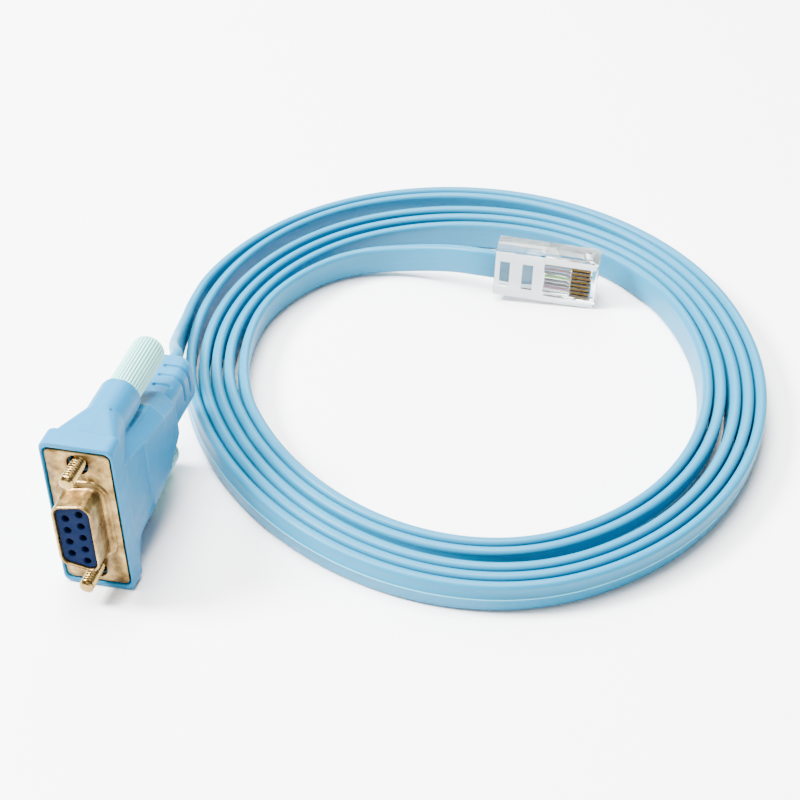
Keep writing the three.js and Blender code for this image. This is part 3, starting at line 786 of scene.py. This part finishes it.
# A rectangle with round corners, as (x, z) points
def rounded_ring(width, height, corner, steps=8):
    ring = []
    for side_x, side_z, quarter in CORNERS:
        for step in range(steps + 1):
            angle = (quarter + step / steps) * math.pi / 2
            ring.append((
                side_x * (width / 2 - corner) + corner * math.cos(angle),
                side_z * (height / 2 - corner) + corner * math.sin(angle),
            ))
    return ring


def circle_ring(radius, x=0.0, z=0.0, steps=28):
    return [
        (x + radius * math.cos(2 * math.pi * i / steps), z + radius * math.sin(2 * math.pi * i / steps))
        for i in range(steps)
    ]


# The D outline, grown outwards by an offset: its wide row is on the +X side
def d_ring(offset, steps=9):
    width = SHELL_WIDTH + 2 * offset
    length = SHELL_LENGTH + 2 * offset
    corner = SHELL_CORNER + offset
    slope = math.tan(math.radians(SHELL_SLOPE)) * SHELL_WIDTH / 2
    corners = [
        Vector((width / 2, length / 2)),
        Vector((-width / 2, length / 2 - 2 * slope)),
        Vector((-width / 2, 2 * slope - length / 2)),
        Vector((width / 2, -length / 2)),
    ]
    ring = []
    for i, here in enumerate(corners):
        before = (corners[i - 1] - here).normalized()
        after = (corners[(i + 1) % 4] - here).normalized()
        half = math.acos(before.dot(after)) / 2
        middle = here + (before + after).normalized() * (corner / math.sin(half))
        start = here + before * (corner / math.tan(half)) - middle
        end = here + after * (corner / math.tan(half)) - middle
        first = math.atan2(start.y, start.x)
        sweep = math.atan2(end.y, end.x) - first
        if sweep > math.pi:
            sweep -= 2 * math.pi
        if sweep < -math.pi:
            sweep += 2 * math.pi
        for step in range(steps + 1):
            angle = first + sweep * step / steps
            ring.append((middle.x + corner * math.cos(angle), middle.y + corner * math.sin(angle)))
    return ring


class Shape:
    """Collects rings and faces in the connector's frame, and turns them into one mesh"""

    def __init__(self):
        self.work = bmesh.new()

    def ring(self, ring, y):
        return [self.work.verts.new([c * MM for c in connector_point(x, y, z)]) for x, z in ring]

    def walls(self, rings):
        """Joins rings of equal count; each is (points, y). Returns the first and last loop of corners"""
        loops = [self.ring(points, y) for points, y in rings]
        for a, b in zip(loops, loops[1:]):
            for k in range(len(a)):
                n = (k + 1) % len(a)
                self.work.faces.new((a[k], a[n], b[n], b[k]))
        return loops[0], loops[-1]

    def cap(self, loops):
        """Fills between an outer loop and the loops inside it"""
        edges = []
        for loop in loops:
            for k in range(len(loop)):
                a = loop[k]
                b = loop[(k + 1) % len(loop)]
                edge = self.work.edges.get((a, b)) or self.work.edges.new((a, b))
                edges.append(edge)
        bmesh.ops.triangle_fill(self.work, use_beauty=True, use_dissolve=False, edges=edges)

    def centre(self, loop, point):
        middle = self.work.verts.new([c * MM for c in connector_point(*point)])
        for k in range(len(loop)):
            self.work.faces.new((loop[k], loop[(k + 1) % len(loop)], middle))

    def finish(self, name, angle):
        bmesh.ops.recalc_face_normals(self.work, faces=self.work.faces)
        mesh = bpy.data.meshes.new(name)
        self.work.to_mesh(mesh)
        self.work.free()
        mesh.polygons.foreach_set("use_smooth", [True] * len(mesh.polygons))
        mesh.set_sharp_from_angle(angle=math.radians(angle))
        return new_object(name, mesh)


# Stamped plate, the raised step round its D-shaped collar and the collar's rolled lip
def make_shell():
    shape = Shape()
    plate = rounded_ring(*PLATE_SIZE, PLATE_CORNER)
    inset_size = [side - PLATE_INSET for side in PLATE_SIZE]
    inset = rounded_ring(*inset_size, PLATE_CORNER - PLATE_INSET_CORNER)
    back, front = shape.walls([
        (inset, PLATE_BACK),
        (plate, PLATE_BACK - PLATE_EDGE_BACK),
        (plate, PLATE_FRONT + PLATE_EDGE_FRONT),
        (inset, PLATE_FRONT),
    ])
    profile = [(offset, PLATE_FRONT - depth) for offset, depth in COLLAR_FOOT]
    profile += [(offset, SHELL_FRONT + depth) for offset, depth in COLLAR_LIP]
    profile.append((-SHELL_WALL, PLATE_BACK))
    outer, inner = shape.walls([(d_ring(offset), y) for offset, y in profile])
    fronts = [front, outer]
    backs = [back, inner]
    for height in SCREW_HEIGHTS.values():
        radius = SCREW_HOLE / 2
        near, far = shape.walls([
            (circle_ring(radius + HOLE_FLARE, 0, height), PLATE_FRONT),
            (circle_ring(radius, 0, height), PLATE_FRONT + HOLE_FLARE),
            (circle_ring(radius, 0, height), PLATE_BACK),
        ])
        fronts.append(near)
        backs.append(far)
    shape.cap(fronts)
    shape.cap(backs)
    return shape.finish("shell_detail", FORM_ANGLE)


def contact_places():
    places = []
    for count, x in CONTACT_ROWS:
        for i in range(count):
            places.append((x, ((count - 1) / 2 - i) * CONTACT_PITCH))
    return places


# Insert with nine countersunk holes that widen behind their lip
def make_insert():
    shape = Shape()
    face = -SHELL_WALL - INSERT_CLEARANCE
    edge = [(d_ring(face - inset), INSERT_FRONT + depth) for inset, depth in INSERT_EDGE]
    outer_front, outer_back = shape.walls(edge + [(d_ring(face), INSERT_BACK)])
    loops = [outer_front]
    hole_end = INSERT_FRONT + CONTACT_HOLE[-1][1]
    for x, z in contact_places():
        rings = [(circle_ring(r, x, z, HOLE_STEPS), INSERT_FRONT + depth) for r, depth in CONTACT_HOLE]
        rim, bottom = shape.walls(rings)
        loops.append(rim)
        shape.centre(bottom, (x, hole_end, z))
    shape.cap(loops)
    shape.cap([outer_back])
    return shape.finish("insert_detail", INSERT_ANGLE)


def knob_groove(angle):
    wave = 0.5 - 0.5 * math.cos(angle * KNOB_RIBS)
    return wave ** GROOVE_SHARPNESS


def knob_radius(angle):
    return KNOB_RADIUS - KNOB_RIB_DEPTH * knob_groove(angle)


def knob_ring(height, inset, share):
    plain = KNOB_RADIUS - KNOB_RIB_DEPTH * KNOB_RIB_MIDDLE
    ring = []
    for i in range(KNOB_STEPS):
        angle = 2 * math.pi * i / KNOB_STEPS
        radius = plain + (knob_radius(angle) - plain) * share - inset
        ring.append((radius * math.cos(angle), height + radius * math.sin(angle)))
    return ring


def mark_groove_shade(knob, height):
    """Marks how deep in a groove each point of the knob is, for the painted shade in the grooves"""
    groove = knob.data.attributes.new("groove", "FLOAT", "POINT")
    start = KNOB_START + GROOVE_SHADE_START
    end = KNOB_START + KNOB_LENGTH - GROOVE_SHADE_END
    for i, vertex in enumerate(knob.data.vertices):
        y = vertex.co.y / MM + CONNECTOR_MIDDLE
        across = vertex.co.x / MM
        up = vertex.co.z / MM - CONNECTOR_HEIGHT - height
        share = GROOVE_SHADE_TINT * knob_groove(math.atan2(up, across))
        groove.data[i].value = share if start < y < end else 0.0


# Thumbscrew knob: fine lengthwise ribs, a plain rim at its front and a domed rear end
def make_knob(label):
    height = SCREW_HEIGHTS[label]
    end = KNOB_START + KNOB_LENGTH
    bore_end = KNOB_START + KNOB_BORE_DEPTH
    bore = circle_ring(KNOB_BORE, 0, height, KNOB_STEPS)
    rings = [(bore, bore_end), (bore, KNOB_START)]
    rings += [(knob_ring(height, inset, share), KNOB_START + depth) for inset, share, depth in KNOB_FRONT]
    rings += [(knob_ring(height, inset, share), end - depth) for inset, share, depth in KNOB_REAR]
    shape = Shape()
    first, last = shape.walls(rings)
    shape.centre(first, (0, bore_end, height))
    shape.centre(last, (0, end - KNOB_REAR[-1][2], height))
    knob = shape.finish(f"{label}_knob_detail", FORM_ANGLE)
    mark_groove_shade(knob, height)
    return knob


def thread_offset(angle, y, start):
    turns = (y - start) / THREAD_PITCH - angle / (2 * math.pi)
    wave = abs(2 * (turns - math.floor(turns)) - 1)
    fade_in = max(0.0, (y - start) / THREAD_PITCH)
    fade_out = max(0.0, (start + THREAD_LENGTH - y) / THREAD_PITCH)
    fade = min(1.0, fade_in, fade_out)
    return -THREAD_DEPTH * fade * min(1.0, max(0.0, THREAD_STEEPNESS * wave - THREAD_CREST))


def thread_ring(height, y, start):
    ring = []
    for i in range(SCREW_STEPS):
        angle = 2 * math.pi * i / SCREW_STEPS
        radius = SCREW_RADIUS + thread_offset(angle, y, start)
        ring.append((radius * math.cos(angle), height + radius * math.sin(angle)))
    return ring


# Screw with a helical thread at its front, a plain shank behind
def make_screw(label):
    height = SCREW_HEIGHTS[label]
    start = SCREW_TIP + SCREW_POINT[-1][1]
    rings = []
    for narrowing, depth in SCREW_POINT:
        rings.append((circle_ring(SCREW_RADIUS - narrowing, 0, height, SCREW_STEPS), SCREW_TIP + depth))
    count = int(THREAD_LENGTH / THREAD_PITCH * THREAD_RINGS)
    for i in range(1, count + 1):
        y = start + THREAD_LENGTH * i / count
        rings.append((thread_ring(height, y, start), y))
    rings.append((circle_ring(SCREW_RADIUS, 0, height, SCREW_STEPS), SCREW_END))
    shape = Shape()
    first, last = shape.walls(rings)
    shape.centre(first, (0, SCREW_TIP + SCREW_DIMPLE, height))
    shape.centre(last, (0, SCREW_END, height))
    return shape.finish(f"{label}_screw_detail", FORM_ANGLE)


# A copy of a CAD solid with its edges softened as in a moulding
def softened(node, name, voxel, rounds, factor=0.5):
    source = nodes[node]
    copy = new_object(f"{name}_source", source.data.copy())
    remesh = copy.modifiers.new("fine", "REMESH")
    remesh.mode = "VOXEL"
    remesh.voxel_size = voxel * MM
    remesh.use_smooth_shade = True
    smooth = copy.modifiers.new("soft", "SMOOTH")
    smooth.factor = factor
    smooth.iterations = rounds
    result = applied(copy, name)
    result.data.polygons.foreach_set("use_smooth", [True] * len(result.data.polygons))
    return result


# A copy of a CAD solid with small bevels on its edges
def bevelled(node, name, width, segments=2, angle=30):
    source = nodes[node]
    copy = new_object(f"{name}_source", source.data.copy())
    work = bmesh.new()
    work.from_mesh(copy.data)
    bmesh.ops.remove_doubles(work, verts=work.verts, dist=WELD_DISTANCE)
    bmesh.ops.dissolve_limit(work, angle_limit=math.radians(2), verts=work.verts, edges=work.edges)
    work.to_mesh(copy.data)
    work.free()
    bevel = copy.modifiers.new("edge", "BEVEL")
    bevel.width = width * MM
    bevel.segments = segments
    bevel.limit_method = "ANGLE"
    bevel.angle_limit = math.radians(angle)
    bevel.use_clamp_overlap = True
    bevel.harden_normals = False
    result = applied(copy, name)
    result.data.polygons.foreach_set("use_smooth", [True] * len(result.data.polygons))
    result.data.set_sharp_from_angle(angle=math.radians(PLUG_SHARP_ANGLE))
    return result


def place(item, body, node, slot, material):
    dress(item, material)
    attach(item, body)
    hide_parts(node)
    return item


hood = softened("hood", "hood_detail", HOOD_VOXEL, HOOD_ROUNDS)
place(hood, "root", "hood", "hood", hood_look())

place(make_shell(), "root", "front_shell", "front_shell", plated_look())
place(make_insert(), "root", "insulator", "insulator", insert_look())

knob_material = knob_look()
brass = brass_look()
for label in ("upper", "lower"):
    body = f"{label}_thumbscrew"
    place(make_knob(label), body, f"{label}_knob", "knobs", knob_material)
    place(make_screw(label), body, f"{label}_screw", "screws", brass)

gold = gold_look()
for i in range(1, 10):
    dress(nodes[f"contact_{i}"], gold)
for i in range(1, 9):
    dress(nodes[f"blade_{i}"], gold)

for i, colour in enumerate(WIRE_COLOURS, 1):
    dress(nodes[f"wire_{i}"], wire_look(i, linear(*colour)))

plug = bevelled("plug_housing", "plug_detail", PLUG_BEVEL)
place(plug, "root", "plug_housing", "clear_plug", clear_look())


# Blocks of one material inside or on the plug, given as (x, y, z) ranges in its own frame
def plug_blocks(name, blocks, bevel, material):
    work = bmesh.new()
    for x_range, y_range, z_range in blocks:
        points = [Vector((x, y, z)) for x in x_range for y in y_range for z in z_range]
        corners = [work.verts.new(PLUG @ point * MM) for point in points]
        hull = bmesh.ops.convex_hull(work, input=corners)
        edges = [item for item in hull["geom"] if isinstance(item, bmesh.types.BMEdge)]
        bmesh.ops.dissolve_limit(work, angle_limit=FLAT_ANGLE, verts=corners, edges=edges)
    sharp = list(work.edges)
    bmesh.ops.bevel(work, geom=sharp, offset=bevel * MM, segments=2, profile=0.5, affect="EDGES")
    bmesh.ops.recalc_face_normals(work, faces=work.faces)
    mesh = bpy.data.meshes.new(name)
    work.to_mesh(mesh)
    work.free()
    item = new_object(name, mesh)
    dress(item, material)
    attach(item, "root")
    return item


bars = [(stretch, BAR_LAYER, (-PLUG_EDGE, PLUG_EDGE)) for stretch in CROSS_BARS]
for low, high, half in SIDE_BARS:
    bars.append(((low, high), BAR_LAYER, (half, PLUG_EDGE)))
    bars.append(((low, high), BAR_LAYER, (-PLUG_EDGE, -half)))
plug_bars = plug_blocks("plug_bars", bars, BAR_BEVEL, frosted_look())

# A sheet of painted shade and painted reflection under the contacts
shade_gleam_block = (SHADE_GLEAM_X, SHADE_GLEAM_LAYER, (-SHADE_GLEAM_HALF, SHADE_GLEAM_HALF))
plug_shade_gleam = plug_blocks("plug_shade_gleam", [shade_gleam_block], SHADE_GLEAM_BEVEL, shade_gleam_look())

plug_pieces = [plug, plug_bars, plug_shade_gleam]
plug_pieces += [nodes[f"blade_{i}"] for i in range(1, 9)]
plug_pieces += [nodes[f"wire_{i}"] for i in range(1, 9)]


# Floor and light
def make_floor():
    corners = [(side_x * FLOOR_HALF, side_y * FLOOR_HALF, 0) for side_x, side_y, quarter in CORNERS]
    mesh = bpy.data.meshes.new("floor")
    mesh.from_pydata(corners, [], [(0, 1, 2, 3)])
    floor = new_object("floor", mesh)
    look = Look("floor_look", FLOOR_COLOUR, FLOOR_ROUGHNESS)
    look.vary_roughness(look.noise(40, 3), 0.05)
    dress(floor, look.material)


def area_light(name, position, target, size, power):
    data = bpy.data.lights.new(name, "AREA")
    data.shape = "SQUARE"
    data.size = size
    data.energy = power
    light = bpy.data.objects.new(name, data)
    light.location = position
    aim = Vector(target) - Vector(position)
    light.rotation_euler = aim.to_track_quat("-Z", "Y").to_euler()
    bpy.context.scene.collection.objects.link(light)


def make_world(strength):
    world = bpy.data.worlds.new("studio")
    world.use_nodes = True
    background = world.node_tree.nodes["Background"]
    background.inputs["Color"].default_value = (1, 1, 1, 1)
    background.inputs["Strength"].default_value = strength
    bpy.context.scene.world = world


make_floor()
make_world(WORLD_STRENGTH)
for light in LIGHTS:
    area_light(*light)
